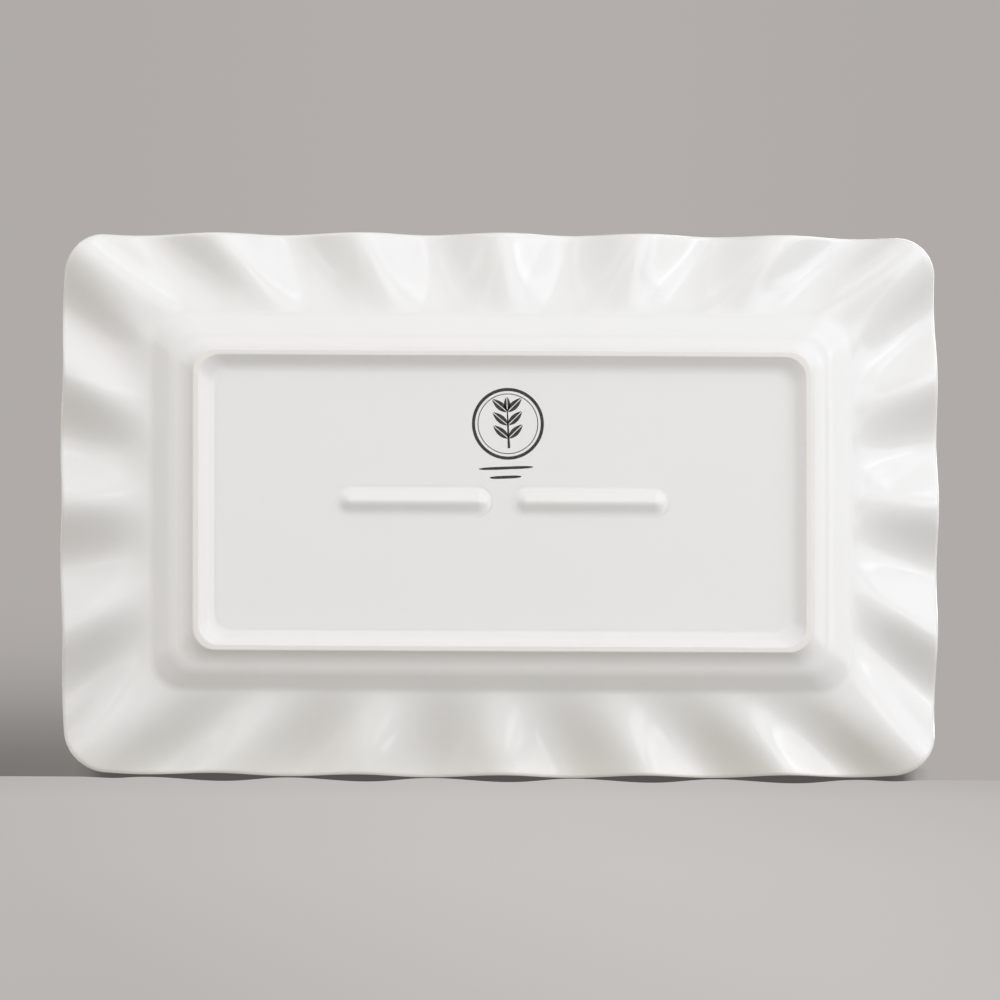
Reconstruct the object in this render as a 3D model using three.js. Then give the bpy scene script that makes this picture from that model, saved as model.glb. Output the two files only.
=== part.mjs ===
// China serving platter: a rectangular porcelain dish with a flat well and a wide fluted rim.
// It lies as in use: +Z up out of the well, +X along the long side, and the origin at the centre
// of the plane that the foot ring stands on. Millimetres.
import * as THREE from 'three';

// --- Driving dimensions ---------------------------------------------------------------------
const LIP_LENGTH = 305; // over the middles of the two short sides
const LIP_WIDTH = 189; // over the middles of the two long sides
const LIP_BOW_SHORT = 1.2; // how far the middle of a short side stands out from its ends
const LIP_BOW_LONG = 0.8; // the same for a long side
const LIP_CORNER = 14.3; // corner radius of the lip
const LIP_THICKNESS = 3.2;

const RING_LENGTH = 212.7; // foot ring, over the middle line of its standing face
const RING_WIDTH = 103.1;
const RING_CORNER = 7.6;
const RING_FACE = 1.8; // width of the unglazed standing face
const RING_OUTER_FOOT = 3.2; // from the middle line to the ring's outer edge at the base
const RING_INNER_FOOT = 5.2; // from the middle line to the ring's inner edge at the base

const RECESS_DEPTH = 3.6; // from the standing plane up to the flat base inside the ring
const BODY_THICKNESS = 4.2; // well and wall
const BELLY_START = 3.2; // where the wall leaves the flat base, outward from the ring's middle line
const BELLY_RADIUS = 9; // bend from the base up into the wall, at mid thickness
const WALL_ANGLE = 37; // degrees from level
const WALL_STRAIGHT = 4.7; // straight stretch between the two bends
const SHOULDER_RADIUS = 8; // bend from the wall out into the rim, at mid thickness
const RIM_ANGLE = 12; // degrees from level

const FLUTE_SWING = 5.5; // how far a flute rises or dips at the lip
const FLUTE_EASE = 1.5; // power of the rise: larger starts the flutes more gently
const FLUTES_HALF_LONG = 3; // flutes from the middle of a long side to the corner
const FLUTES_HALF_SHORT = 2; // flutes from the middle of a short side to the corner

const RIB_LENGTH = 54.2;
const RIB_WIDTH = 10; // at the base
const RIB_CREST = 2.4; // width of the flat crest
const RIB_HEIGHT = 2;
const RIB_SHOULDER = 0.52; // height of the bend in a rib's flank, as a share of its height
const RIB_CENTRE_X = 30.7; // from the middle of the base to the middle of a rib

const PRINT_THICKNESS = 0.2;
const PRINT_CENTRE = [2.1, -27.1]; // middle of the printed seal
const PRINT_TURN = -2.5; // degrees: a hand-laid print is never quite square
const SEAL_RADIUS = 12.5;
const SEAL_LINE = 1.1;
const LEAF_PAIRS = 3;
const LEAF_LENGTH = 6.8;
const LEAF_WIDTH = 2.8;
const LEAF_ANGLE = 48; // degrees from the stem
const LEAF_PITCH = 4.6; // between pairs, along the stem
const FIRST_JOINT = 0.75; // the lowest pair's joint above the stem's foot, in pitches
const LEAF_EDGE = [ // along a leaf and across it, as shares of its length and its width
  [0.3, 0.42],
  [0.6, 0.46],
  [0.85, 0.22],
  [1, 0],
  [0.8, -0.3],
  [0.5, -0.42],
  [0.2, -0.22],
];
const STEM_LENGTH = 17;
const STEM_WIDTH = 0.8;
const BAR_THICKNESS = 1.1;
const BAR_LENGTHS = [19, 11];
const BAR_PITCH = 3.2;
const BAR_DROP = 15.4; // from the middle of the seal to the first bar

// --- How finely the outlines are stepped ------------------------------------------------------
const SHORT_STEPS = 12; // along half of a short side
const LONG_STEPS = 20; // along half of a long side
const CORNER_STEPS = 6;
const BEND_STEPS = 3;
const RIM_STEPS = 5;
const LIP_STEPS = 4;
const RIB_END_STEPS = 8;
const SEAL_STEPS = 32;
const BAR_END_STEPS = 6;

const RAD = Math.PI / 180;
const REACH = (LIP_LENGTH - RING_LENGTH) / 2 - LIP_BOW_SHORT; // ring's middle line out to the lip

// --- Materials --------------------------------------------------------------------------------
const GLAZE = { color: 0xf1f1ee, roughness: 0.12, metalness: 0 };
const BARE_FOOT = { color: 0xe2dcd2, roughness: 0.75, metalness: 0 };
const INK = { color: 0x1d1c1b, roughness: 0.3, metalness: 0 };

const platter = new THREE.Group();

function addPiece(name, geometry, look) {
  const mesh = new THREE.Mesh(geometry, new THREE.MeshStandardMaterial(look));
  mesh.name = name;
  platter.add(mesh);
}

// --- Outline: a rectangle with round corners and slightly bowed sides -------------------------

// A station is a place on the outline that every level of the dish shares: a leg of a quarter
// and how far along that leg it lies.
function quarterStations() {
  const stations = [];
  const addLeg = (leg, steps) => {
    for (let i = 0; i < steps; i += 1) {
      stations.push({ leg, along: i / steps });
    }
  };
  addLeg('short', SHORT_STEPS);
  addLeg('corner', CORNER_STEPS);
  addLeg('long', LONG_STEPS);
  stations.push({ leg: 'long', along: 1 });
  return stations;
}

// Four quarters make the turn. Every other one is walked backwards, mirrored.
function wholeTurn() {
  const quarter = quarterStations();
  const turn = [];
  for (let q = 0; q < 4; q += 1) {
    const walked = q % 2 === 0 ? quarter : [...quarter].reverse();
    const signX = q === 0 || q === 3 ? 1 : -1;
    const signY = q < 2 ? 1 : -1;
    for (const station of walked.slice(0, -1)) {
      turn.push({ ...station, signX, signY });
    }
  }
  return turn;
}

const TURN = wholeTurn();

// Half sizes, corner radius and bow of the outline that lies `reach` outward from the ring. The
// corners open quickly at first, so the wall's are nearly as round as the lip's.
function outlineAt(reach) {
  const t = reach / REACH;
  const mix = THREE.MathUtils.lerp;
  return {
    halfLength: mix(RING_LENGTH / 2, LIP_LENGTH / 2 - LIP_BOW_SHORT, t),
    halfWidth: mix(RING_WIDTH / 2, LIP_WIDTH / 2 - LIP_BOW_LONG, t),
    corner: mix(RING_CORNER, LIP_CORNER, Math.sin((t * Math.PI) / 2)),
    bowShort: LIP_BOW_SHORT * Math.max(t, 0),
    bowLong: LIP_BOW_LONG * Math.max(t, 0),
  };
}

function stationPoint(outline, station) {
  const { halfLength, halfWidth, corner, bowShort, bowLong } = outline;
  const straightX = halfLength - corner;
  const straightY = halfWidth - corner;
  let x = 0;
  let y = 0;
  if (station.leg === 'short') {
    x = halfLength + bowShort * (1 - station.along ** 2);
    y = straightY * station.along;
  } else if (station.leg === 'corner') {
    const angle = station.along * 90 * RAD;
    x = straightX + corner * Math.cos(angle);
    y = straightY + corner * Math.sin(angle);
  } else {
    const left = 1 - station.along;
    x = straightX * left;
    y = halfWidth + bowLong * (1 - left ** 2);
  }
  return [x * station.signX, y * station.signY];
}

// The flutes are counted along the lip: a dip at the middle of every side and at every corner.
function fluteCount(station) {
  const lip = outlineAt(REACH);
  const halfArc = (lip.corner * Math.PI) / 4;
  const straightX = lip.halfLength - lip.corner;
  const straightY = lip.halfWidth - lip.corner;
  const perShort = FLUTES_HALF_SHORT / (straightY + halfArc);
  const perLong = FLUTES_HALF_LONG / (straightX + halfArc);
  if (station.leg === 'short') {
    return straightY * station.along * perShort;
  }
  if (station.leg === 'long') {
    return FLUTES_HALF_SHORT + (halfArc + straightX * station.along) * perLong;
  }
  const pastDiagonal = (2 * station.along - 1) * halfArc;
  const pace = pastDiagonal < 0 ? perShort : perLong;
  return FLUTES_HALF_SHORT + pastDiagonal * pace;
}

// --- Section: lines and arcs at mid thickness, then half a thickness to either side ------------

const SHOULDER_REACH = BELLY_START
  + BELLY_RADIUS * Math.sin(WALL_ANGLE * RAD)
  + WALL_STRAIGHT * Math.cos(WALL_ANGLE * RAD)
  + SHOULDER_RADIUS * (Math.sin(WALL_ANGLE * RAD) - Math.sin(RIM_ANGLE * RAD));
const LIP_ROUND = LIP_THICKNESS / 2;
const RIM_END = REACH - LIP_ROUND; // the last round of the lip takes up the rest

// Each step of the section: reach, height, the angle it climbs at, and its thickness.
function midSection() {
  const baseHeight = RECESS_DEPTH + BODY_THICKNESS / 2;
  const steps = [];
  const centreZ = baseHeight + BELLY_RADIUS;
  for (let i = 0; i <= BEND_STEPS; i += 1) {
    const angle = (WALL_ANGLE * RAD * i) / BEND_STEPS;
    const reach = BELLY_START + BELLY_RADIUS * Math.sin(angle);
    steps.push({ reach, z: centreZ - BELLY_RADIUS * Math.cos(angle), angle });
  }
  const wallTop = steps[steps.length - 1];
  const startReach = wallTop.reach + WALL_STRAIGHT * Math.cos(wallTop.angle);
  const startZ = wallTop.z + WALL_STRAIGHT * Math.sin(wallTop.angle);
  const hubReach = startReach + SHOULDER_RADIUS * Math.sin(wallTop.angle);
  const hubZ = startZ - SHOULDER_RADIUS * Math.cos(wallTop.angle);
  for (let i = 0; i <= BEND_STEPS; i += 1) {
    const angle = THREE.MathUtils.lerp(WALL_ANGLE, RIM_ANGLE, i / BEND_STEPS) * RAD;
    const reach = hubReach - SHOULDER_RADIUS * Math.sin(angle);
    steps.push({ reach, z: hubZ + SHOULDER_RADIUS * Math.cos(angle), angle });
  }
  const shoulder = steps[steps.length - 1];
  const run = RIM_END - shoulder.reach;
  for (let i = 1; i <= RIM_STEPS; i += 1) {
    const reach = shoulder.reach + (run * i) / RIM_STEPS;
    const z = shoulder.z + (reach - shoulder.reach) * Math.tan(shoulder.angle);
    steps.push({ reach, z, angle: shoulder.angle });
  }
  for (const step of steps) {
    const out = THREE.MathUtils.clamp((step.reach - SHOULDER_REACH) / (RIM_END - SHOULDER_REACH), 0, 1);
    step.thickness = THREE.MathUtils.lerp(BODY_THICKNESS, LIP_THICKNESS, out);
  }
  return steps;
}

// How much of the full swing the flutes have at a reach: none at the shoulder, all at the lip.
function fluteShare(reach) {
  const start = SHOULDER_REACH - BODY_THICKNESS / 2;
  const out = THREE.MathUtils.clamp((reach - start) / (REACH - start), 0, 1);
  return Math.sin((out * Math.PI) / 2) ** FLUTE_EASE;
}

// One level of the dish all the way round. A flute moves the porcelain straight up or down.
function dishLoop(reach, z) {
  const outline = outlineAt(reach);
  const swing = FLUTE_SWING * fluteShare(reach);
  return TURN.map((station) => {
    const [x, y] = stationPoint(outline, station);
    const lift = -swing * Math.cos(fluteCount(station) * 2 * Math.PI);
    return new THREE.Vector3(x, y, z + lift);
  });
}

// Half a thickness off the middle line: side -1 is the underside, +1 the side that food lies on.
function offsetLoop(step, side) {
  const half = (side * step.thickness) / 2;
  return dishLoop(step.reach - half * Math.sin(step.angle), step.z + half * Math.cos(step.angle));
}

// The half round of the lip, from the underside out and over to the top.
function lipLoops(last) {
  const loops = [];
  for (let i = 1; i < LIP_STEPS; i += 1) {
    const angle = last.angle - 90 * RAD + (180 * RAD * i) / LIP_STEPS;
    loops.push(dishLoop(last.reach + LIP_ROUND * Math.cos(angle), last.z + LIP_ROUND * Math.sin(angle)));
  }
  return loops;
}

// --- Skins: closed surfaces stretched over a row of loops ---------------------------------------

// Loops run anticlockwise seen from +Z, and each next loop lies on the outer side of the last one.
function skin(loops, closing) {
  const count = loops[0].length;
  const positions = loops.flat().flatMap((p) => [p.x, p.y, p.z]);
  const index = [];
  const rows = closing === 'ring' ? loops.length : loops.length - 1;
  for (let row = 0; row < rows; row += 1) {
    const from = row * count;
    const to = ((row + 1) % loops.length) * count;
    for (let i = 0; i < count; i += 1) {
      const j = (i + 1) % count;
      index.push(from + i, from + j, to + j);
      index.push(from + i, to + j, to + i);
    }
  }
  if (closing === 'caps') {
    addCap(positions, index, loops[0], 0, true);
    addCap(positions, index, loops[loops.length - 1], (loops.length - 1) * count, false);
  }
  const geometry = new THREE.BufferGeometry();
  geometry.setAttribute('position', new THREE.Float32BufferAttribute(positions, 3));
  geometry.setIndex(index);
  geometry.computeVertexNormals();
  return geometry;
}

// A flat fan over a loop, from its middle.
function addCap(positions, index, loop, first, facesDown) {
  const middle = new THREE.Vector3();
  for (const point of loop) {
    middle.add(point);
  }
  middle.divideScalar(loop.length);
  const hub = positions.length / 3;
  positions.push(middle.x, middle.y, middle.z);
  for (let i = 0; i < loop.length; i += 1) {
    const a = first + i;
    const b = first + ((i + 1) % loop.length);
    index.push(hub, facesDown ? b : a, facesDown ? a : b);
  }
}

// --- Porcelain body -------------------------------------------------------------------------------

function makeBody() {
  const section = midSection();
  const under = section.map((step) => offsetLoop(step, -1));
  const over = section.map((step) => offsetLoop(step, 1)).reverse();
  return skin([...under, ...lipLoops(section[section.length - 1]), ...over], 'caps');
}

addPiece('platter_body', makeBody(), GLAZE);

// --- Foot ring: a sloping inner face, a narrow standing face and a steep outer face ------------------

function makeFootRing() {
  const corners = [
    [-RING_FACE / 2, 0],
    [RING_FACE / 2, 0],
    [RING_OUTER_FOOT, RECESS_DEPTH],
    [-RING_INNER_FOOT, RECESS_DEPTH],
  ];
  return skin(corners.map(([reach, z]) => dishLoop(reach, z)), 'ring');
}

addPiece('foot_ring', makeFootRing(), BARE_FOOT);

// --- Sag ribs: low bars with round ends, on the long middle line of the base ---------------------------

function ribLoop(centreX, width, z) {
  const radius = width / 2;
  const straight = (RIB_LENGTH - RIB_WIDTH) / 2;
  const loop = [];
  for (const side of [1, -1]) {
    for (let i = 0; i <= RIB_END_STEPS; i += 1) {
      const angle = (i / RIB_END_STEPS - 0.5) * Math.PI + (side > 0 ? 0 : Math.PI);
      const x = centreX + side * straight + radius * Math.cos(angle);
      loop.push(new THREE.Vector3(x, radius * Math.sin(angle), z));
    }
  }
  return loop;
}

function makeRib(centreX) {
  const crestZ = RECESS_DEPTH - RIB_HEIGHT;
  const shoulderZ = RECESS_DEPTH - RIB_HEIGHT * RIB_SHOULDER;
  const shoulderWidth = (RIB_WIDTH + RIB_CREST) / 2;
  return skin([
    ribLoop(centreX, RIB_CREST, crestZ),
    ribLoop(centreX, shoulderWidth, shoulderZ),
    ribLoop(centreX, RIB_WIDTH, RECESS_DEPTH),
  ], 'caps');
}

addPiece('sag_rib_left', makeRib(-RIB_CENTRE_X), GLAZE);
addPiece('sag_rib_right', makeRib(RIB_CENTRE_X), GLAZE);

// --- Backstamp: a plain generic mark, a sprig in a round seal over two bars ----------------------------

// The mark is drawn with its top towards +V and read from below, so +V is -Y of the dish.
function printPiece(name, shape, curveSegments) {
  const geometry = new THREE.ExtrudeGeometry(shape, {
    depth: PRINT_THICKNESS,
    bevelEnabled: false,
    curveSegments,
  });
  geometry.rotateX(Math.PI);
  geometry.translate(0, 0, RECESS_DEPTH);
  geometry.rotateZ(-PRINT_TURN * RAD);
  geometry.translate(PRINT_CENTRE[0], PRINT_CENTRE[1], 0);
  addPiece(name, geometry, INK);
}

function sealShape() {
  const shape = new THREE.Shape();
  shape.absarc(0, 0, SEAL_RADIUS, 0, Math.PI * 2, false);
  const hole = new THREE.Path();
  hole.absarc(0, 0, SEAL_RADIUS - SEAL_LINE, 0, Math.PI * 2, true);
  shape.holes.push(hole);
  return shape;
}

// The sprig is one outline, walked up the right side of the stem and down the left.
function sprigShape() {
  const half = STEM_WIDTH / 2;
  const foot = -STEM_LENGTH / 2;
  const right = [];
  for (let pair = 0; pair < LEAF_PAIRS; pair += 1) {
    right.push(...leafPoints(foot + LEAF_PITCH * (pair + FIRST_JOINT)));
  }
  const left = right.map(([u, v]) => [-u, v]).reverse();
  const points = [[-half, foot], [half, foot], ...right, [0, STEM_LENGTH / 2], ...left];
  return new THREE.Shape(points.map(([u, v]) => new THREE.Vector2(u, v)));
}

// A pointed leaf on the right of the stem, from its lower joint out to the tip and back.
function leafPoints(jointV) {
  const half = STEM_WIDTH / 2;
  const along = [Math.sin(LEAF_ANGLE * RAD), Math.cos(LEAF_ANGLE * RAD)];
  const across = [along[1], -along[0]];
  const edge = LEAF_EDGE.map(([s, w]) => [
    half + along[0] * s * LEAF_LENGTH + across[0] * w * LEAF_WIDTH,
    jointV + along[1] * s * LEAF_LENGTH + across[1] * w * LEAF_WIDTH,
  ]);
  return [[half, jointV - half], ...edge, [half, jointV + half]];
}

function barShape(length, drop) {
  const shape = new THREE.Shape();
  const radius = BAR_THICKNESS / 2;
  const straight = length / 2 - radius;
  shape.absarc(straight, -drop, radius, -Math.PI / 2, Math.PI / 2, false);
  shape.absarc(-straight, -drop, radius, Math.PI / 2, Math.PI * 1.5, false);
  shape.closePath();
  return shape;
}

printPiece('backstamp_seal', sealShape(), SEAL_STEPS);
printPiece('backstamp_sprig', sprigShape(), 1);
printPiece('backstamp_bar_long', barShape(BAR_LENGTHS[0], BAR_DROP), BAR_END_STEPS);
printPiece('backstamp_bar_short', barShape(BAR_LENGTHS[1], BAR_DROP + BAR_PITCH), BAR_END_STEPS);

export default platter;
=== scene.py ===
# %% [markdown]
# # A china serving platter: porcelain, glaze and a fired print
# The object is a rectangular platter with a flat well and a wide fluted rim, seen from its
# underside as it stands on one long edge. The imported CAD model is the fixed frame. Every piece
# here is a finer surface in the same place, and this lesson builds them one by one.

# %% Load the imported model
import math

import bpy
import numpy as np
from mathutils import Matrix, Vector


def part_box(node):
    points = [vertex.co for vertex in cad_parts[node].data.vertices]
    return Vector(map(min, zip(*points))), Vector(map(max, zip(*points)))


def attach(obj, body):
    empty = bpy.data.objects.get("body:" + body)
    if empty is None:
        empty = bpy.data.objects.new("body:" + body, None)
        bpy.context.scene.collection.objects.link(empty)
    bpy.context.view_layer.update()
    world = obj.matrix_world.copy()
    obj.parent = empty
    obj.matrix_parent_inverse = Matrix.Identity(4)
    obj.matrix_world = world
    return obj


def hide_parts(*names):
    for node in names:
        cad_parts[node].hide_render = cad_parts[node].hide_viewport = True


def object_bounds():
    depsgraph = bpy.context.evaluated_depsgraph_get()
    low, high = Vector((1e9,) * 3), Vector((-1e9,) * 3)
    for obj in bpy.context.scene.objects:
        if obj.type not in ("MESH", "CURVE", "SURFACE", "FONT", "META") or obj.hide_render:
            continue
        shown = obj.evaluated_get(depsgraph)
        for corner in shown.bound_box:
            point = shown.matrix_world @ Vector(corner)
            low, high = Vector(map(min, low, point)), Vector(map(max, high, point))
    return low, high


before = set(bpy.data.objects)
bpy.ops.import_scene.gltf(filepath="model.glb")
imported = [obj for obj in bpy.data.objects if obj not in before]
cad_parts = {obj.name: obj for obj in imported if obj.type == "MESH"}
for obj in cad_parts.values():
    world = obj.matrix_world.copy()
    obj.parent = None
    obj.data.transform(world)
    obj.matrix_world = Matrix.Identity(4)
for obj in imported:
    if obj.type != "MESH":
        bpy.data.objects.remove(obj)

cad_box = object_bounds()
print("CAD box, mm:", [[round(v * 1000, 1) for v in corner] for corner in cad_box])

# %% [markdown]
# ## Sizes
# Where a size can be read from the frame, it is: the box of a CAD node gives its outline and its
# place. The radii and angles of the section can't be read from a box, so they are repeated from
# the CAD model, in metres.

# %% Sizes read from the frame
MM = 0.001
body_low, body_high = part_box("platter_body")
ring_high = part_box("foot_ring")[1]
rib_low, rib_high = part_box("sag_rib_right")
seal_low, seal_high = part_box("backstamp_seal")

BASE_Z = body_low.z  # underside of the well
LIP_HALF = np.array([body_high.x, body_high.y])
RING_OUTER_FOOT = 3.2 * MM  # from the ring's middle line out to its base edge
RING_HALF = np.array([ring_high.x, ring_high.y]) - RING_OUTER_FOOT
print("underside of the well at", round(BASE_Z / MM, 2), "mm")
print("ring's middle line, half sizes in mm:", (RING_HALF / MM).round(1))

# %% Sizes of the section and the flutes
LIP_BOW = np.array([1.2, 0.8]) * MM  # how far the middle of a short and a long side bows out
LIP_CORNER = 14.3 * MM
RING_CORNER = 7.6 * MM
BODY_THICKNESS = 4.2 * MM
LIP_THICKNESS = 3.2 * MM
BELLY_START = 3.2 * MM
BELLY_RADIUS = 9 * MM
WALL_ANGLE = math.radians(37)
WALL_STRAIGHT = 4.7 * MM
SHOULDER_RADIUS = 8 * MM
RIM_ANGLE = math.radians(12)
FLUTE_SWING = 5.5 * MM
FLUTE_EASE = 1.5
FLUTES_HALF_SIDE = np.array([2, 3])  # from the middle of a short and a long side to the corner

CORE_HALF = LIP_HALF - LIP_BOW  # the lip's half sizes at the ends of its sides
REACH = CORE_HALF[0] - RING_HALF[0]  # from the ring's middle line out to the lip

# %% [markdown]
# ## One walk round the dish
# Every level of a platter, from the foot to the lip, is a rectangle with round corners. If all
# levels share one parameter, a flute is simply a column of that parameter, and the columns fan
# out towards the corners by themselves. The walk is measured along the lip, in equal steps.

# %% The walk round the lip
AROUND = 760


def legs(walk):
    """How far along the short side, the corner and the long side a walk has come, each 0 to 1.
    A leg that lies ahead stays at 0 and one that lies behind stays at 1."""
    lengths = lip_legs()
    starts = np.concatenate([[0], np.cumsum(lengths)[:-1]])
    return [np.clip((walk - s) / n, 0, 1) for s, n in zip(starts, lengths)]


def lip_legs():
    """Lengths of a quarter's three legs: half a short side, a quarter circle, half a long side."""
    straight = CORE_HALF - LIP_CORNER
    return np.array([straight[1], LIP_CORNER * math.pi / 2, straight[0]])


def whole_walk(count):
    """Equal steps of four quarters. Odd quarters are walked backwards and mirrored."""
    u = np.arange(count) * 4 / count
    quarter = u.astype(int)
    part = u - quarter
    part = np.where(quarter % 2 == 0, part, 1 - part)
    sign_x = np.array([1, -1, -1, 1])[quarter]
    sign_y = np.array([1, 1, -1, -1])[quarter]
    return part * lip_legs().sum(), sign_x, sign_y


WALK, SIGN_X, SIGN_Y = whole_walk(AROUND)
print("length of the lip:", round(4 * lip_legs().sum() / MM), "mm in", AROUND, "steps")


# %% The outline at any level
def outline(reach):
    """Points of the level that lies `reach` outward from the ring: a row for each reach.
    x = straight + corner * cos(turn) + bow, y = straight * share + corner * sin(turn) + bow,
    where each leg's share runs from 0 to 1 and the bows are parabolas. The corner opens as a
    sine from the ring's to the lip's, so the wall's is nearly as round as the lip's."""
    t = np.atleast_1d(reach)[:, None] / REACH
    half = RING_HALF + (CORE_HALF - RING_HALF) * t
    corner = RING_CORNER + (LIP_CORNER - RING_CORNER) * np.sin(t * math.pi / 2)
    bow = LIP_BOW * np.maximum(t, 0)
    short, turn, long = legs(WALK)
    straight = half - corner
    left = 1 - long
    x = straight[:, :1] * left + corner * np.cos(turn * math.pi / 2)
    x = x + bow[:, :1] * (1 - short ** 2)
    y = straight[:, 1:] * short + corner * np.sin(turn * math.pi / 2)
    y = y + bow[:, 1:] * (1 - left ** 2) * (long > 0)
    return x * SIGN_X, y * SIGN_Y


def flute_count(walk):
    """Flutes passed since the middle of the short side. The corner's diagonal is the second."""
    short, corner, long = lip_legs()
    to_diagonal = short + corner / 2
    before = np.minimum(walk, to_diagonal) / to_diagonal
    after = np.maximum(walk - to_diagonal, 0) / (corner / 2 + long)
    return FLUTES_HALF_SIDE[0] * before + FLUTES_HALF_SIDE[1] * after


# %% [markdown]
# ## The section
# The porcelain's section is a chain of lines and arcs at mid thickness: flat base, belly, wall,
# shoulder, rim. Half a thickness to either side of it gives the underside and the food side. A
# chain of arcs is chosen over a free curve because glaze shows every bump in a reflection.

# %% Arcs and lines at mid thickness
SHOULDER_REACH = (
    BELLY_START
    + BELLY_RADIUS * math.sin(WALL_ANGLE)
    + WALL_STRAIGHT * math.cos(WALL_ANGLE)
    + SHOULDER_RADIUS * (math.sin(WALL_ANGLE) - math.sin(RIM_ANGLE))
)
RIM_END = REACH - LIP_THICKNESS / 2
BEND_ROWS = 14
RIM_ROWS = 26


def mid_section():
    """Reach, height and climb angle along the section. An arc of radius r about a hub has
    reach = hub + r sin(angle) and height = hub - r cos(angle), mirrored for the shoulder."""
    belly = np.linspace(0, WALL_ANGLE, BEND_ROWS)
    hub = BASE_Z + BODY_THICKNESS / 2 + BELLY_RADIUS
    reach = [BELLY_START + BELLY_RADIUS * np.sin(belly)]
    height = [hub - BELLY_RADIUS * np.cos(belly)]
    bend = np.linspace(WALL_ANGLE, RIM_ANGLE, BEND_ROWS)
    top_reach = reach[0][-1] + WALL_STRAIGHT * math.cos(WALL_ANGLE)
    top_height = height[0][-1] + WALL_STRAIGHT * math.sin(WALL_ANGLE)
    rise = SHOULDER_RADIUS * np.array([math.sin(WALL_ANGLE), math.cos(WALL_ANGLE)])
    reach.append(top_reach + rise[0] - SHOULDER_RADIUS * np.sin(bend))
    height.append(top_height - rise[1] + SHOULDER_RADIUS * np.cos(bend))
    rim = np.linspace(SHOULDER_REACH, RIM_END, RIM_ROWS)[1:]
    reach.append(rim)
    height.append(height[1][-1] + (rim - reach[1][-1]) * math.tan(RIM_ANGLE))
    angle = np.concatenate([belly, bend, np.full(len(rim), RIM_ANGLE)])
    return np.concatenate(reach), np.concatenate(height), angle


def thickness_at(reach):
    """Full thickness as far as the shoulder, then a straight taper to the lip."""
    out = np.clip((reach - SHOULDER_REACH) / (RIM_END - SHOULDER_REACH), 0, 1)
    return BODY_THICKNESS + (LIP_THICKNESS - BODY_THICKNESS) * out


def flute_share(reach):
    """Share of the full swing: a sine from nothing at the shoulder to all at the lip, raised
    to a power so that the flutes start gently."""
    start = SHOULDER_REACH - BODY_THICKNESS / 2
    out = np.clip((reach - start) / (REACH - start), 0, 1)
    return np.sin(out * math.pi / 2) ** FLUTE_EASE


# %% Carrying a section round the dish
def carried(reach, height):
    """Rows of points: each (reach, height) of a section goes round the outline, and a flute
    moves it straight down or up by swing * share * cos(2 pi flutes)."""
    x, y = outline(reach)
    wave = np.cos(2 * math.pi * flute_count(WALK))
    z = height[:, None] - FLUTE_SWING * flute_share(reach)[:, None] * wave
    return np.stack([x, y, z], axis=-1)


def shrunk(row, shares):
    """Copies of one row, drawn in towards the Z axis by each share: rows of a flat floor."""
    rows = np.repeat(row[None], len(shares), axis=0)
    rows[:, :, :2] *= np.asarray(shares)[:, None, None]
    return rows


# %% [markdown]
# ## From rows of points to a closed mesh
# A grid of points needs three things to become a solid skin: quads between neighbouring rows, a
# join round each row, and either a cap at both ends or a join of the last row to the first. The
# signed volume of the result tells whether its faces point outwards.

# %% Skins and objects
def skin(rows, ring=False):
    """Vertices and faces of a grid that closes round each row, with a fan over each end, or
    with its last row joined to its first."""
    count, around = rows.shape[:2]
    r, i = np.meshgrid(np.arange(count if ring else count - 1), np.arange(around), indexing="ij")
    next_r, next_i = (r + 1) % count, (i + 1) % around
    corners = [(r, i), (r, next_i), (next_r, next_i), (next_r, i)]
    faces = np.stack([a * around + b for a, b in corners], axis=-1).reshape(-1, 4).tolist()
    points = rows.reshape(-1, 3)
    if not ring:
        hub = len(points)
        points = np.concatenate([points, [rows[0].mean(axis=0), rows[-1].mean(axis=0)]])
        step = np.arange(around)
        following = (step + 1) % around
        last = (count - 1) * around
        faces += np.stack([0 * step + hub, following, step], axis=-1).tolist()
        faces += np.stack([0 * step + hub + 1, last + step, last + following], axis=-1).tolist()
    return points, faces


def piece(name, skins, node, material, smooth=True):
    """One object from one or more skins. It stands for a CAD node and rides on the root body."""
    points, faces, offset = [], [], 0
    for some_points, some_faces in skins:
        points.append(some_points)
        faces += [[v + offset for v in face] for face in some_faces]
        offset += len(some_points)
    mesh = bpy.data.meshes.new(name)
    mesh.from_pydata(np.concatenate(points).tolist(), [], faces)
    mesh.polygons.foreach_set("use_smooth", [smooth] * len(mesh.polygons))
    mesh.materials.append(material)
    mesh.update()
    made = bpy.data.objects.new(name, mesh)
    bpy.context.scene.collection.objects.link(made)
    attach(made, "root")
    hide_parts(node)
    print(name, "faces", len(faces), "volume cm3", round(volume(mesh) * 1e6, 3))
    return made


def volume(mesh):
    """Signed volume: the sum over triangles of a . (b x c) / 6. Outward faces make it positive."""
    mesh.calc_loop_triangles()
    corners = np.zeros(len(mesh.loop_triangles) * 3, int)
    mesh.loop_triangles.foreach_get("vertices", corners)
    places = np.zeros(len(mesh.vertices) * 3)
    mesh.vertices.foreach_get("co", places)
    a, b, c = places.reshape(-1, 3)[corners.reshape(-1, 3)].transpose(1, 0, 2)
    return float((a * np.cross(b, c)).sum() / 6)


# %% [markdown]
# ## Finishes
# White porcelain under a clear glaze is nearly one colour, so its realism lies in small things:
# a glaze that ripples a little and is cooler where it pools in a crease, a painted highlight
# that makes the lip paler, and a roughness that isn't quite even. Each is a noise or an
# attribute that the surface carries, never something tied to the camera.

# %% Material helpers
def new_material(name, **fixed):
    """A Principled material and its tree. Values that are the same all over go on its sockets."""
    material = bpy.data.materials.new(name)
    material.use_nodes = True
    tree = material.node_tree
    shader = tree.nodes["Principled BSDF"]
    for socket, value in fixed.items():
        shader.inputs[socket.replace("_", " ")].default_value = value
    return material, tree, shader


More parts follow.
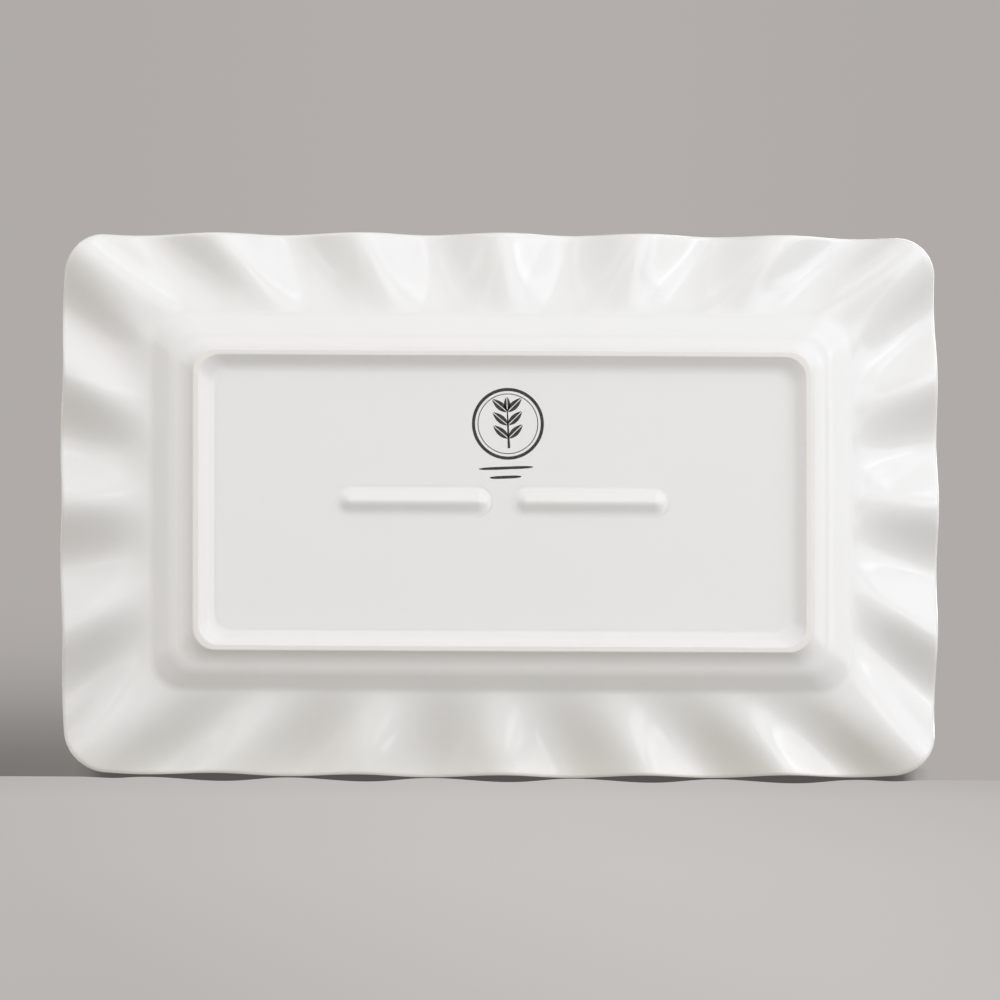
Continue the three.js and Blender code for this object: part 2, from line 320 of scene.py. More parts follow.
def noise(tree, size, detail=2.0, roughness=0.5):
    """Noise on object coordinates whose features are about `size` metres across."""
    coords = tree.nodes.new("ShaderNodeTexCoord")
    node = tree.nodes.new("ShaderNodeTexNoise")
    node.inputs["Scale"].default_value = 1 / size
    node.inputs["Detail"].default_value = detail
    node.inputs["Roughness"].default_value = roughness
    tree.links.new(coords.outputs["Object"], node.inputs["Vector"])
    return node.outputs["Fac"]


def ranged(tree, value, low, high, to_low, to_high):
    """Maps a value from one range to another, and clamps it."""
    node = tree.nodes.new("ShaderNodeMapRange")
    for socket, number in zip(("From Min", "From Max", "To Min", "To Max"), (low, high, to_low, to_high)):
        node.inputs[socket].default_value = number
    tree.links.new(value, node.inputs["Value"])
    return node.outputs["Result"]


def blend_colour(tree, share, first, second):
    """Mixes two colours. Either may be a colour or another node's output."""
    node = tree.nodes.new("ShaderNodeMix")
    node.data_type = "RGBA"
    tree.links.new(share, node.inputs["Factor"])
    for socket, colour in (("A", first), ("B", second)):
        target = [s for s in node.inputs if s.name == socket and s.type == "RGBA"][0]
        if isinstance(colour, bpy.types.NodeSocket):
            tree.links.new(colour, target)
        else:
            target.default_value = (*colour, 1)
    return [s for s in node.outputs if s.type == "RGBA"][0]


def bump(tree, shader, layers):
    """Chains bumps, each of (height, depth in metres), and links the last one to the shader."""
    normal = None
    for height, depth in layers:
        node = tree.nodes.new("ShaderNodeBump")
        node.inputs["Distance"].default_value = depth
        tree.links.new(height, node.inputs["Height"])
        if normal is not None:
            tree.links.new(normal, node.inputs["Normal"])
        normal = node.outputs["Normal"]
    tree.links.new(normal, shader.inputs["Normal"])


def attribute(tree, name):
    """A number that the mesh carries at each vertex."""
    node = tree.nodes.new("ShaderNodeAttribute")
    node.attribute_name = name
    return node.outputs["Fac"]


# %% Glazed porcelain
WHITE = (0.83, 0.825, 0.815)
WHITE_COOL = (0.82, 0.82, 0.812)
# painted highlight: the colour along the lip, paler than the white
LIP_PAINTED_HIGHLIGHT = (0.85, 0.845, 0.835)
POOL_COOL = (0.78, 0.79, 0.785)


def glazed_porcelain(name):
    """White body under clear glaze: cloudy colour, a painted highlight along the lip, cool pools."""
    material, tree, shader = new_material(name, IOR=1.52)
    cloud = ranged(tree, noise(tree, 45 * MM, 3), 0.35, 0.65, 0, 1)
    colour = blend_colour(tree, cloud, WHITE, WHITE_COOL)
    # painted highlight: the lip is made paler
    colour = blend_colour(tree, attribute(tree, "painted_lip_highlight"), colour, LIP_PAINTED_HIGHLIGHT)
    colour = blend_colour(tree, attribute(tree, "glaze_pool"), colour, POOL_COOL)
    tree.links.new(colour, shader.inputs["Base Color"])
    gloss = ranged(tree, noise(tree, 18 * MM, 4), 0.3, 0.7, 0.07, 0.13)
    tree.links.new(gloss, shader.inputs["Roughness"])
    ripple = noise(tree, 16 * MM, 1)
    peel = noise(tree, 1.8 * MM, 2)
    bump(tree, shader, [(ripple, 0.06 * MM), (peel, 0.004 * MM)])
    return material


glaze = glazed_porcelain("white_glaze")

# %% Foot ring: glazed flanks and a bare, ground standing face
BARE = (0.83, 0.815, 0.79)
BARE_DARK = (0.79, 0.77, 0.735)
BARE_TOP = 0.22 * MM  # the glaze is wiped away below this height


def wiped_foot(name):
    """The glaze ends in a slightly uneven line where the foot was wiped clean before firing."""
    material, tree, shader = new_material(name, IOR=1.5)
    coords = tree.nodes.new("ShaderNodeTexCoord")
    axes = tree.nodes.new("ShaderNodeSeparateXYZ")
    tree.links.new(coords.outputs["Object"], axes.inputs["Vector"])
    uneven = tree.nodes.new("ShaderNodeMath")
    uneven.operation = "ADD"
    tree.links.new(axes.outputs["Z"], uneven.inputs[0])
    wander = ranged(tree, noise(tree, 5 * MM, 3), 0.3, 0.7, -0.12 * MM, 0.12 * MM)
    tree.links.new(wander, uneven.inputs[1])
    glazed = ranged(tree, uneven.outputs["Value"], BARE_TOP, BARE_TOP + 0.08 * MM, 0, 1)
    grain = ranged(tree, noise(tree, 0.5 * MM, 3), 0.35, 0.7, 0, 1)
    bare = blend_colour(tree, grain, BARE, BARE_DARK)
    tree.links.new(blend_colour(tree, glazed, bare, WHITE), shader.inputs["Base Color"])
    tree.links.new(ranged(tree, glazed, 0, 1, 0.6, 0.1), shader.inputs["Roughness"])
    bump(tree, shader, [(noise(tree, 0.35 * MM, 2), 0.01 * MM)])
    return material


foot_finish = wiped_foot("bare_foot")

# %% Fired ink
INK = (0.012, 0.011, 0.011)
INK_THIN = (0.045, 0.043, 0.042)


def fired_ink(name):
    """Black ceramic ink: nearly even, thinner in patches, with a satin skin."""
    material, tree, shader = new_material(name, IOR=1.5)
    patch = ranged(tree, noise(tree, 0.9 * MM, 4, 0.7), 0.45, 0.75, 0, 1)
    tree.links.new(blend_colour(tree, patch, INK, INK_THIN), shader.inputs["Base Color"])
    tree.links.new(ranged(tree, noise(tree, 2 * MM, 2), 0.3, 0.7, 0.18, 0.34), shader.inputs["Roughness"])
    bump(tree, shader, [(noise(tree, 0.4 * MM, 2), 0.004 * MM)])
    return material


ink = fired_ink("print_ink")

# %% [markdown]
# ## The porcelain body
# One closed skin runs from the middle of the base, out under the belly and the rim, round the
# lip and back over the food side to the middle of the well.

# %% Rows of the body
LIP_ROWS = 12
FLOOR_SHARES = [0.25, 0.5, 0.75, 0.9, 0.97]


def body_rows():
    """Underside rows going out, the half circle of the lip, then food-side rows coming in.
    An offset by half a thickness moves reach by -sin(angle) and height by +cos(angle)."""
    reach, height, angle = mid_section()
    half = thickness_at(reach) / 2
    under = carried(reach + half * np.sin(angle), height - half * np.cos(angle))
    over = carried(reach - half * np.sin(angle), height + half * np.cos(angle))[::-1]
    turn = RIM_ANGLE + np.linspace(-math.pi / 2, math.pi / 2, LIP_ROWS + 2)[1:-1]
    lip = carried(reach[-1] + half[-1] * np.cos(turn), height[-1] + half[-1] * np.sin(turn))
    base = shrunk(under[0], FLOOR_SHARES)
    well = shrunk(over[-1], FLOOR_SHARES[::-1])
    return np.concatenate([base, under, lip, over, well]), len(base), len(under), len(lip)


rows, base_rows, under_rows, lip_rows = body_rows()
body = piece("glazed_platter_body", [skin(rows)], "platter_body", glaze)

# %% A painted highlight along the lip, and where the glaze pools
POOL_SHARE = 0.15  # share of the pool's colour where the glaze is deepest


def carry_number(made, name, values):
    """Stores one number for each vertex. The two cap vertices at the end get 0."""
    layer = made.data.attributes.new(name, "FLOAT", "POINT")
    layer.data.foreach_set("value", np.concatenate([values, [0, 0]]).astype(np.float32))


def bell(rows_count, centre, width):
    """A smooth bump of 1 at one row, falling to nothing `width` rows away."""
    away = np.clip(np.abs(np.arange(rows_count) - centre) / width, 0, 1)
    return (1 + np.cos(math.pi * away)) / 2


lip_row = base_rows + under_rows + lip_rows / 2
crease_row = base_rows + 2 * BEND_ROWS - BEND_ROWS / 3
# painted highlight: a share of 1 along the lip, falling away to either side
painted_lip_share = bell(len(rows), lip_row, lip_rows)
pool = POOL_SHARE * bell(len(rows), crease_row, BEND_ROWS)
carry_number(body, "painted_lip_highlight", np.repeat(painted_lip_share, AROUND))
carry_number(body, "glaze_pool", np.repeat(pool, AROUND))

# %% [markdown]
# ## The foot ring
# The ring has a sloping inner face, a narrow standing face and a steep outer face. Its creases
# are filled with soft fillets where the clay was pressed and the glaze ran. Its section is a
# polygon with rounded corners, and the rows above the base are hidden in the body.

# %% A polygon with round corners
ROUND_STEPS = 9


def rounded(corners, radii):
    """Each corner becomes an arc that touches both of its edges: the hub lies on the corner's
    bisector, and the arc is swept between the two touching points."""
    corners = np.asarray(corners, float)
    made = []
    for here, radius in enumerate(radii):
        corner = corners[here]
        back = corners[here - 1] - corner
        ahead = corners[(here + 1) % len(corners)] - corner
        back, ahead = back / np.linalg.norm(back), ahead / np.linalg.norm(ahead)
        half_angle = math.acos(np.clip(back @ ahead, -1, 1)) / 2
        hub = corner + (back + ahead) / np.linalg.norm(back + ahead) * radius / math.sin(half_angle)
        first = corner + back * radius / math.tan(half_angle) - hub
        last = corner + ahead * radius / math.tan(half_angle) - hub
        share = np.linspace(0, 1, ROUND_STEPS)[:, None]
        spoke = first * (1 - share) + last * share
        made.append(hub + spoke / np.linalg.norm(spoke, axis=1)[:, None] * radius)
    return np.concatenate(made)


# %% The ring's section, carried round
FACE_HALF = 0.9 * MM
INNER_FOOT = 5.1 * MM
SKIRT = 3.6 * MM  # how far the inner fillet's thin edge runs in along the base
OUTER_FLANK = math.radians(51)
MEETING = math.radians(17)  # the outer fillet runs into the belly where it climbs at this angle
FILLET_SHARE = 0.97  # of the length up to the meeting, so that a sliver of line is left
INNER_FILLET = 6 * MM
FACE_EDGE = 0.6 * MM  # rounding of the standing face's two edges
CREASE = 0.05 * MM  # rounding of the corners that lie in the body
HIDDEN = 1 * MM  # how deep the ring's top lies in the body
FLUSH = 0.01 * MM

under_radius = BELLY_RADIUS + BODY_THICKNESS / 2
meeting_reach = BELLY_START + under_radius * math.sin(MEETING)
meeting_height = BASE_Z + under_radius * (1 - math.cos(MEETING))


def flank_corner():
    """Where the flank's line from the standing face crosses the belly's tangent at the meeting:
    run * tan(flank) = height of the meeting + (run - its run) * tan(meeting)."""
    level = meeting_height - (meeting_reach - FACE_HALF) * math.tan(MEETING)
    run = level / (math.tan(OUTER_FLANK) - math.tan(MEETING))
    return [FACE_HALF + run, run * math.tan(OUTER_FLANK)]


ring_corners = np.array([
    [-INNER_FOOT - SKIRT, BASE_Z + FLUSH],
    [-INNER_FOOT, BASE_Z],
    [-FACE_HALF, 0],
    [FACE_HALF, 0],
    flank_corner(),
    [meeting_reach, meeting_height],
    [meeting_reach, BASE_Z + HIDDEN],
    [-INNER_FOOT - SKIRT, BASE_Z + HIDDEN],
])
to_meeting = np.linalg.norm(ring_corners[5] - ring_corners[4])
outer_fillet = FILLET_SHARE * to_meeting / math.tan((OUTER_FLANK - MEETING) / 2)
ring_radii = [CREASE, INNER_FILLET, FACE_EDGE, FACE_EDGE, outer_fillet, CREASE, CREASE, CREASE]
print("outer fillet, mm:", round(outer_fillet / MM, 1))
ring_section = rounded(ring_corners, ring_radii)
ring_rows = carried(ring_section[:, 0], ring_section[:, 1])
piece("foot_ring_wiped", [skin(ring_rows, ring=True)], "foot_ring", foot_finish)

# %% [markdown]
# ## The sag ribs
# Two low bars under the well keep a long platter from sagging in the kiln. Glaze rounds them
# into soft swells, so each is a stadium whose height falls away as a raised cosine.

# %% Ribs as stadium rows
RIB_HALF_WIDTH = 6.4 * MM
RIB_EASE = 2  # power of the cosine: larger draws the foot of the swell out thinner
RIB_HEIGHT = rib_high.z - rib_low.z
RIB_ROUND = (rib_high.y - rib_low.y) / 2
RIB_SPINE = (rib_high.x - rib_low.x) / 2 - RIB_ROUND  # half the length of its straight spine
RIB_AROUND = 96
RIB_ROWS = 18
CREST_SHARE = 0.03  # radius of the first row, as a share of the half width


def rib_rows(centre_x):
    """Rows from the crest out to the edge: a spine widened by a radius, and a drop below the
    base of height * ((1 + cos(pi radius / half width)) / 2) ** ease."""
    radius = np.linspace(CREST_SHARE, 1, RIB_ROWS) * RIB_HALF_WIDTH
    angle = (np.arange(RIB_AROUND) + 0.5) * 2 * math.pi / RIB_AROUND
    x = centre_x + RIB_SPINE * np.sign(np.cos(angle)) + radius[:, None] * np.cos(angle)
    y = radius[:, None] * np.sin(angle)
    drop = RIB_HEIGHT * ((1 + np.cos(math.pi * radius / RIB_HALF_WIDTH)) / 2) ** RIB_EASE
    z = BASE_Z + FLUSH - drop[:, None] + 0 * x
    shown = np.stack([x, y, z], axis=-1)
    hidden = shown[-1:] + [0, 0, HIDDEN]
    return np.concatenate([shown, hidden])


for side, node in ((-1, "sag_rib_left"), (1, "sag_rib_right")):
    centre = side * (rib_low.x + rib_high.x) / 2
    piece(node + "_glazed", [skin(rib_rows(centre))], node, glaze)

# %% [markdown]
# ## The backstamp
# A transfer print is a film of ceramic ink. Its shapes are drawn flat in a small frame of their
# own, u to the right and v up as it is read from below, then turned a little, because a print
# laid by hand is never quite square, and set on the base. The mark is a plain sprig in a round
# seal over two bars.

# %% Laying ink on the base
SEAL_CENTRE = (seal_low + seal_high) / 2
SEAL_RADIUS = (seal_high.x - seal_low.x) / 2
PRINT_TURN = math.radians(-2.5)
INK_PROUD = 0.035 * MM
INK_SUNK = 0.03 * MM


def laid(u, v):
    """Places a drawn point: a turn, then u along X and v along -Y."""
    turned_u = u * math.cos(PRINT_TURN) + v * math.sin(PRINT_TURN)
    turned_v = v * math.cos(PRINT_TURN) - u * math.sin(PRINT_TURN)
    return SEAL_CENTRE.x + turned_u, SEAL_CENTRE.y - turned_v


def film(u, v):
    """A thin slab over a closed outline. The outline's signed area tells which way it runs,
    and a clockwise one is turned round so that the slab's faces point out."""
    u, v = np.asarray(u), np.asarray(v)
    if (u * np.roll(v, -1) - v * np.roll(u, -1)).sum() < 0:
        u, v = u[::-1], v[::-1]
    x, y = laid(u, v)
    loops = [np.stack([x, y, 0 * x + z], axis=-1) for z in (BASE_Z + INK_SUNK, BASE_Z - INK_PROUD)]
    return skin(np.stack(loops))


def round_line(radius, width, steps=160):
    """A thin slab between two circles: its four-cornered section goes round as a ring."""
    angle = np.arange(steps) * 2 * math.pi / steps
    loops = []
    section = [(-1, INK_SUNK), (1, INK_SUNK), (1, -INK_PROUD), (-1, -INK_PROUD)]
    for side, z in section:
        r = radius + side * width / 2
        x, y = laid(r * np.cos(angle), r * np.sin(angle))
        loops.append(np.stack([x, y, 0 * x + BASE_Z + z], axis=-1))
    return skin(np.stack(loops), ring=True)


# %% The seal: a strong line and a fine line inside it
STRONG_LINE = 1.1 * MM
FINE_LINE = 0.28 * MM
FINE_INSET = 2.1 * MM

seal = [
    round_line(SEAL_RADIUS - STRONG_LINE / 2, STRONG_LINE),
    round_line(SEAL_RADIUS - FINE_INSET, FINE_LINE),
]
piece("backstamp_seal_print", seal, "backstamp_seal", ink, smooth=False)

# %% The sprig: a stem, pairs of veined leaves and one more at the tip
STEM_START = -8.5 * MM  # along v, from the seal's centre
STEM_END = 4.25 * MM  # the tip leaf starts here
LEAF_LENGTH = 6.8 * MM
LEAF_WIDTH = 2.8 * MM
LEAF_ANGLE = math.radians(48)
LEAF_PITCH = 4.6 * MM
VEIN = 0.14 * MM
LEAF_STEPS = 18
LEAF_FULLNESS = 0.8  # power of the sine: smaller is blunter at both ends
LEAF_TAPER = 0.25  # how much narrower the curve gets towards the leaf's tip
LEAF_PAIRS = 3
FIRST_JOINT = 0.75  # the lowest pair's joint above the stem's foot, in pitches
TIP_LEAF = np.array([0.75, 0.8])  # the tip leaf's length and width, as shares of the others'
STEM_FOOT = 0.45 * MM  # half widths of the stem
STEM_TOP = 0.2 * MM


def half_leaf(joint_v, lean, side, length, width):
    """Half a leaf beside its vein: out along a curve whose width is
    sin(pi s) ** fullness * (1 - taper * s), then straight back along the vein. `lean` is the
    leaf's angle from the stem, signed."""
    s = np.linspace(0, 1, LEAF_STEPS)
    bulge = width / 2 * np.sin(math.pi * s) ** LEAF_FULLNESS * (1 - LEAF_TAPER * s)
    along = np.concatenate([s, s[-2:0:-1]]) * length
    across = np.concatenate([bulge + VEIN, np.full(LEAF_STEPS - 2, VEIN)]) * side
    u = along * math.sin(lean) + across * math.cos(lean)
    v = joint_v + along * math.cos(lean) - across * math.sin(lean)
    return film(u, v)


def stem():
    """A stalk that tapers from its foot to the tip leaf."""
    half_widths = [STEM_FOOT, STEM_TOP, -STEM_TOP, -STEM_FOOT]
    return film(half_widths, [STEM_START, STEM_END, STEM_END, STEM_START])


sprig = [stem()]
for pair in range(LEAF_PAIRS):
    joint = STEM_START + LEAF_PITCH * (pair + FIRST_JOINT)
    for lean in (LEAF_ANGLE, -LEAF_ANGLE):
        for side in (1, -1):
            sprig.append(half_leaf(joint, lean, side, LEAF_LENGTH, LEAF_WIDTH))
tip_length, tip_width = TIP_LEAF * [LEAF_LENGTH, LEAF_WIDTH]
for side in (1, -1):
    sprig.append(half_leaf(STEM_END, 0, side, tip_length, tip_width))
piece("backstamp_sprig_print", sprig, "backstamp_sprig", ink, smooth=False)


# %% The bars
BAR_HALF_WIDTH = 0.5 * MM
BAR_STEPS = 64


def bar(node):
    """A bar with tapered ends, as long as its CAD solid: half its width is sqrt(1 - s ** 4)."""
    low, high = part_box(node)
    middle = (low + high) / 2 - SEAL_CENTRE
    u0 = middle.x * math.cos(PRINT_TURN) + middle.y * math.sin(PRINT_TURN)
    v0 = -middle.y * math.cos(PRINT_TURN) + middle.x * math.sin(PRINT_TURN)
    half_length = (high.x - low.x) / 2
    angle = np.arange(BAR_STEPS) * 2 * math.pi / BAR_STEPS
    s = np.cos(angle)
    half_width = BAR_HALF_WIDTH * np.sqrt(np.maximum(1 - s ** 4, 0)) * np.sign(np.sin(angle))
    return film(u0 + half_length * s, v0 + half_width)


for node in ("backstamp_bar_long", "backstamp_bar_short"):
    piece(node + "_print", [bar(node)], node, ink, smooth=False)

# %% [markdown]
# ## The camera
# The platter stands on its long edge and leans back a little, and the camera is far away, so
# lines stay parallel. In the part's own frame that puts the camera below the platter, looking
# up at the underside, with the view's up along -Y and its right along +X.

# %% Camera
CAMERA_DISTANCE = 10.0
CAMERA_UP_TILT = math.radians(4.9)  # how far the underside faces up from the line of sight
CAMERA_RIGHT_TILT = math.radians(3.3)
VIEW_WIDTH = 0.3469  # width of the view at the platter
SENSOR = 36.0
VIEW_SHIFT = (-0.0004, 0.0038)

low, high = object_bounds()
target = (low + high) / 2
sight = Vector((math.tan(CAMERA_RIGHT_TILT), -math.tan(CAMERA_UP_TILT), 1)).normalized()
view_up = Vector((0, -1, 0))
view_right = sight.cross(view_up).normalized()
view_up = view_right.cross(sight).normalized()

camera_data = bpy.data.cameras.new("camera")
camera_data.sensor_width = SENSOR
camera_data.lens = SENSOR * CAMERA_DISTANCE / VIEW_WIDTH
camera_data.clip_start = 0.1
camera_data.clip_end = 100
camera_data.shift_x, camera_data.shift_y = VIEW_SHIFT
camera = bpy.data.objects.new("camera", camera_data)
turn = Matrix((view_right, view_up, -sight)).transposed().to_4x4()
camera.matrix_world = Matrix.Translation(target - sight * CAMERA_DISTANCE) @ turn
bpy.context.scene.collection.objects.link(camera)
bpy.context.scene.camera = camera
print("camera at", [round(v, 2) for v in camera.location], "lens", round(camera_data.lens))

# %% [markdown]
# ## The stage
# Three sheets make the stage. The platter's long edge stands on a pale floor, which runs
# towards the camera below the plane that the foot ring stands on, and a backdrop hangs behind
# the platter. A pale table at the foot ring's level serves every view from above. It is there
# for the camera only, and only from its upper side, so it neither blocks the view of the
# underside nor shades it.

# %% One-sided stage material
BOUNCE = (0.4, 0.39, 0.375, 1)  # the matt sheet that other rays find


def stage_material(name, glow=False, bounce=True):
    """A plain surface that shows on its front side only, in the colour that it carries as an
    attribute. A glowing one looks the same whatever the lamps do: its light and shade are painted.
    Without bounce it is there for the camera alone; with it, other rays find a pale matt sheet."""
    material = bpy.data.materials.new(name)
    material.use_nodes = True
    tree = material.node_tree
    tree.nodes.clear()
    output = tree.nodes.new("ShaderNodeOutputMaterial")
    tint = tree.nodes.new("ShaderNodeAttribute")
    tint.attribute_name = "tint"
    shown = tree.nodes.new("ShaderNodeEmission" if glow else "ShaderNodeBsdfDiffuse")
    tree.links.new(tint.outputs["Color"], shown.inputs["Color"])
    clear = tree.nodes.new("ShaderNodeBsdfTransparent").outputs[0]
    unseen = clear
    if bounce:
        matt = tree.nodes.new("ShaderNodeBsdfDiffuse")
        matt.inputs["Color"].default_value = BOUNCE
        unseen = matt.outputs[0]
    path = tree.nodes.new("ShaderNodeLightPath")
    facing = tree.nodes.new("ShaderNodeNewGeometry")
    by_ray = mixed(tree, path.outputs["Is Camera Ray"], unseen, shown.outputs[0])
    by_side = mixed(tree, facing.outputs["Backfacing"], by_ray, clear)
    tree.links.new(by_side, output.inputs["Surface"])
    return material


def mixed(tree, share, first, second):
    """Mixes two shaders."""
    node = tree.nodes.new("ShaderNodeMixShader")
    tree.links.new(share, node.inputs["Fac"])
    tree.links.new(first, node.inputs[1])
    tree.links.new(second, node.inputs[2])
    return node.outputs[0]


def stage_sheet(name, points, tints, material):
    """A sheet over a grid of points, with a colour at each. Its front is the side from which
    the rows run left to right and lie one below the other."""
    rows_count, across = points.shape[:2]
    r, i = np.meshgrid(np.arange(rows_count - 1), np.arange(across - 1), indexing="ij")
    corners = [(r, i), (r + 1, i), (r + 1, i + 1), (r, i + 1)]
    faces = np.stack([a * across + b for a, b in corners], axis=-1).reshape(-1, 4)
    mesh = bpy.data.meshes.new(name)
    mesh.from_pydata(points.reshape(-1, 3).tolist(), [], faces.tolist())
    layer = mesh.attributes.new("tint", "FLOAT_COLOR", "POINT")
    colours = np.ones((points.reshape(-1, 3).shape[0], 4), np.float32)
    colours[:, :3] = np.broadcast_to(tints, points.shape).reshape(-1, 3)
    layer.data.foreach_set("color", colours.ravel())
    mesh.materials.append(material)
    sheet = bpy.data.objects.new(name, mesh)
    bpy.context.scene.collection.objects.link(sheet)


def plane_grid(corner, step_across, step_down, across, down):
    """Points corner + a * step_across + d * step_down, for every a in `across`, d in `down`."""
    a = np.asarray(across)[None, :, None]
    d = np.asarray(down)[:, None, None]
    return np.array(corner) + a * np.array(step_across) + d * np.array(step_down)


# %% Table for the views from above
TABLE_HALF = 14.0
TABLE_TINT = (0.74, 0.735, 0.725)
table_z = cad_box[0].z - 0.02 * MM
ends = [-TABLE_HALF, TABLE_HALF]
table_points = plane_grid((0, 0, table_z), (1, 0, 0), (0, -1, 0), ends, ends)
stage_sheet("table", table_points, TABLE_TINT, stage_material("table_paper", bounce=False))

# %% Floor under the long edge
FLOOR_GRAZE = math.radians(1.5)  # how steeply the camera looks down on the floor
LEAN = CAMERA_UP_TILT + FLOOR_GRAZE
FLOOR_LENGTH = 6.0
FLOOR_HALF = 2.0
FLOOR_TINT = np.array([0.565, 0.545, 0.53])
FLOOR_ROWS = (0.2, 0.8, 1.4, 2.6, 3.6, FLOOR_LENGTH)  # distances from the floor's back edge
FLOOR_PAINTED_FALLOFF = (0.93, 1.0, 1.02, 1.0, 0.95, 0.9, 0.85)  # painted light falloff: brightness of the back edge and of each row
SIDE_PAINTED_SHADE = 0.1  # painted shade: how much darker the floor is at its sides
SIDE_REACH = 170 * MM
SIDE_MOST = 1.2  # how many reaches out the painted side shade goes on
SIDE_CURVE = 1.5
FLOOR_COLUMNS = 1601
SHADOW_DEPTH = 36 * MM  # how far the edge's shadow reaches in front of a gap under a dip

SHADOW_END = LIP_HALF[0] - LIP_CORNER / 3  # the corners have left the floor here
FLOOR_LIFT = 0.6 * MM  # closes the gap where a crest touches the floor

contact = np.array([0, cad_box[1].y - FLOOR_LIFT, high.z - LIP_THICKNESS / 2])
towards_camera = np.array([0, math.sin(LEAN), -math.cos(LEAN)])
floor_start = contact + towards_camera * contact[2] / math.cos(LEAN)  # level with the foot ring
floor_across = np.linspace(-FLOOR_HALF, FLOOR_HALF, FLOOR_COLUMNS)
lip_line = rows[int(lip_row)]
long_edge = lip_line[lip_line[:, 1] > LIP_HALF[1] - LIP_CORNER / 2]
long_edge = long_edge[np.argsort(long_edge[:, 0])]
crest_z = long_edge[:, 2].max()
off_floor = (crest_z - long_edge[:, 2]) / (2 * FLUTE_SWING)  # 0 under a crest, 1 under a dip
off_floor = np.interp(floor_across, long_edge[:, 0], off_floor)
off_floor = off_floor * np.clip((SHADOW_END - np.abs(floor_across)) / LIP_CORNER, 0, 1) ** 2
along = np.stack([SHADOW_DEPTH * off_floor] + [0 * floor_across + row for row in FLOOR_ROWS])
floor_points = floor_start + along[..., None] * towards_camera
floor_points[..., 0] = floor_across
# painted light and shade on the glowing floor: darker at the back edge, brightest just in front of it,
# falling off towards the camera and darker at the sides
painted_falloff = np.array(FLOOR_PAINTED_FALLOFF)[:, None]
side = 1 - SIDE_PAINTED_SHADE * np.clip(np.abs(floor_across) / SIDE_REACH, 0, SIDE_MOST) ** SIDE_CURVE
floor_painted_light = FLOOR_TINT * (painted_falloff * side)[..., None]
stage_sheet("floor", floor_points, floor_painted_light, stage_material("floor_glow_with_painted_light", glow=True))

# %% Backdrop behind the platter
BACKDROP_Z = 0.8
BACKDROP_HALF = 1.2
BACKDROP_DROP = 0.4  # how far it goes on below the floor's edge
BACKDROP_COLUMNS = 481
SHADE_TOP = 0.12  # the rows are fine up to this height
SHADE_ROWS = 61
BACKDROP_TINT = np.array([0.43, 0.404, 0.389])
HORIZON_SHADE = 0.55  # how much darker the backdrop is at the floor on the shaded side
HORIZON_REACH = 32 * MM
MIDDLE_GLOW = 0.05  # painted light: how much brighter the backdrop is behind the platter
GLOW_REACH = 110 * MM
GAP_PAINTED_SHADOW = 0.21  # painted shadow: what shows through the gap under the edge
GAP_HEIGHT = 5 * MM

camera_place = np.array(camera.location)
sight_line = floor_start - camera_place
stretch = (BACKDROP_Z - camera_place[2]) / sight_line[2]
horizon = camera_place + sight_line * stretch  # where the floor's edge is seen on the backdrop
across = np.linspace(-BACKDROP_HALF, BACKDROP_HALF, BACKDROP_COLUMNS)
above = np.concatenate([[BACKDROP_HALF], np.linspace(SHADE_TOP, 0, SHADE_ROWS), [-BACKDROP_DROP]])
drop_points = plane_grid((horizon[0], horizon[1], BACKDROP_Z), (1, 0, 0), (0, -1, 0), across, above)
seen_x = (drop_points[..., 0] - horizon[0]) / stretch  # X of the platter in front of each point
height_seen = np.maximum(horizon[1] - drop_points[..., 1], 0)
shaded_side = np.clip(0.5 - seen_x / (2 * LIP_HALF[0]), 0, 1)
# painted shade and light on the glowing backdrop: darker by the floor on the shaded side, brighter behind
# the platter
shade = 1 - HORIZON_SHADE * shaded_side * np.exp(-(height_seen / HORIZON_REACH) ** 2)
shade = shade * (1 + MIDDLE_GLOW * np.exp(-(seen_x / GLOW_REACH) ** 2))
# painted shadow: the backdrop is dark where it shows through the gap under the lip
beside_corner = LIP_HALF[0] - LIP_CORNER / 2 - np.abs(seen_x)
gap_painted_shadow = np.clip(2 * beside_corner / LIP_CORNER, 0, 1) * (height_seen < GAP_HEIGHT)
shade = shade + (GAP_PAINTED_SHADOW - shade) * gap_painted_shadow
backdrop_glow_with_painted_shade = stage_material("backdrop_glow_with_painted_shade", glow=True, bounce=False)
stage_sheet("backdrop", drop_points, BACKDROP_TINT * shade[..., None], backdrop_glow_with_painted_shade)

# %% [markdown]
# ## The light
# The room is bright above and to the right and dim below, and no lamp is small enough to see
# in the glaze. So wide softboxes of one size overlap in two arcs about the line of sight, from
# the right over the top to the left: a near arc, which models the rim's flutes, and a far arc,
# which lights the steep flanks of the foot. One more stands in front. An even, warm world keeps
# the shadows open. A pair of softboxes over the food side serves the views from above.

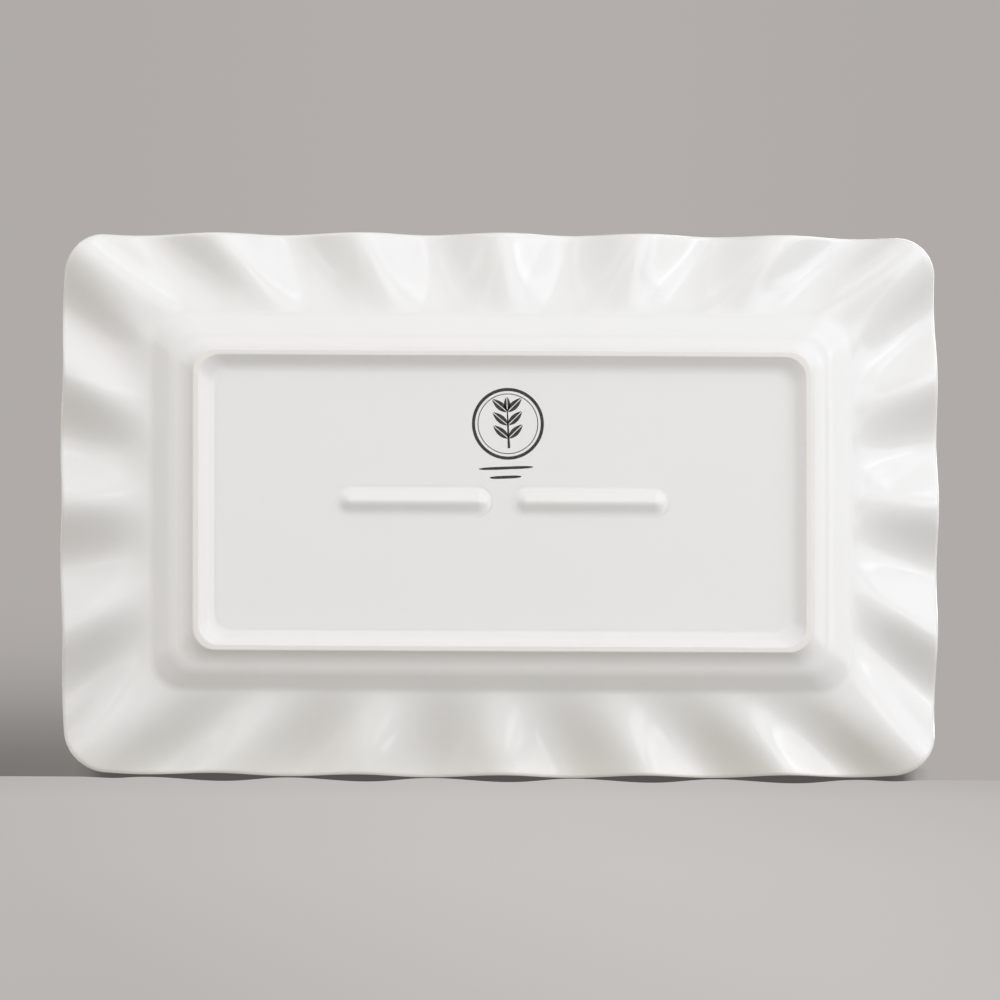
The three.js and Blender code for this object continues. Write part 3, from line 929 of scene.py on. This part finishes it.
# %% Lamps
def softbox(name, direction, distance, size, radiance, colour):
    """An area lamp that faces the platter from a direction in the part's own frame. Its
    power is radiance * pi * area, so two boxes of one radiance look equally bright in a
    reflection."""
    data = bpy.data.lights.new(name, "AREA")
    data.shape = "RECTANGLE"
    data.size, data.size_y = size
    data.energy = radiance * math.pi * size[0] * size[1]
    data.color = colour
    lamp = bpy.data.objects.new(name, data)
    away = Vector(direction).normalized()
    lamp.location = target + away * distance
    lamp.rotation_mode = "QUATERNION"
    lamp.rotation_quaternion = (-away).to_track_quat("-Z", "Y")
    lamp.visible_camera = False
    bpy.context.scene.collection.objects.link(lamp)


def from_sight(angle, azimuth):
    """Direction at an angle off the line of sight; azimuth 0 is the right, 90 the top."""
    off, round_it = math.radians(angle), math.radians(azimuth)
    across = math.sin(off)
    return (across * math.cos(round_it), -across * math.sin(round_it), -math.cos(off))


COOL = (0.84, 0.88, 1.0)
NEUTRAL = (1.0, 1.0, 0.99)
WARM = (1.0, 0.93, 0.78)
PANEL = (1.7, 1.7)
PANEL_DISTANCE = 2.0
NEAR_ANGLE = 38  # degrees off the line of sight
FAR_ANGLE = 70

softbox("front_panel", from_sight(12, 45), PANEL_DISTANCE, PANEL, 0.52, NEUTRAL)
for azimuth, near, far, near_colour, far_colour in (
    (0, 0.85, 1.25, COOL, NEUTRAL),
    (45, 0.84, 0.92, COOL, COOL),
    (90, 0.26, 0.32, COOL, COOL),
    (135, 0.36, 0.66, WARM, COOL),
    (180, 0.33, 0.42, WARM, COOL),
):
    near_way, far_way = from_sight(NEAR_ANGLE, azimuth), from_sight(FAR_ANGLE, azimuth)
    softbox(f"near_panel_{azimuth}", near_way, PANEL_DISTANCE, PANEL, near, near_colour)
    softbox(f"far_panel_{azimuth}", far_way, PANEL_DISTANCE, PANEL, far, far_colour)
softbox("food_side_key", (0.5, -0.45, 0.9), 1.4, (1.0, 0.8), 4, NEUTRAL)
softbox("food_side_fill", (-0.8, 0.5, 0.7), 1.8, (1.2, 1.2), 1, NEUTRAL)

# %% World
WORLD_COLOUR = (1.0, 0.94, 0.81, 1)
WORLD_STRENGTH = 0.392

world = bpy.data.worlds.new("studio")
world.use_nodes = True
background = world.node_tree.nodes["Background"]
background.inputs["Color"].default_value = WORLD_COLOUR
background.inputs["Strength"].default_value = WORLD_STRENGTH
bpy.context.scene.world = world
bpy.context.scene.view_settings.view_transform = "Standard"
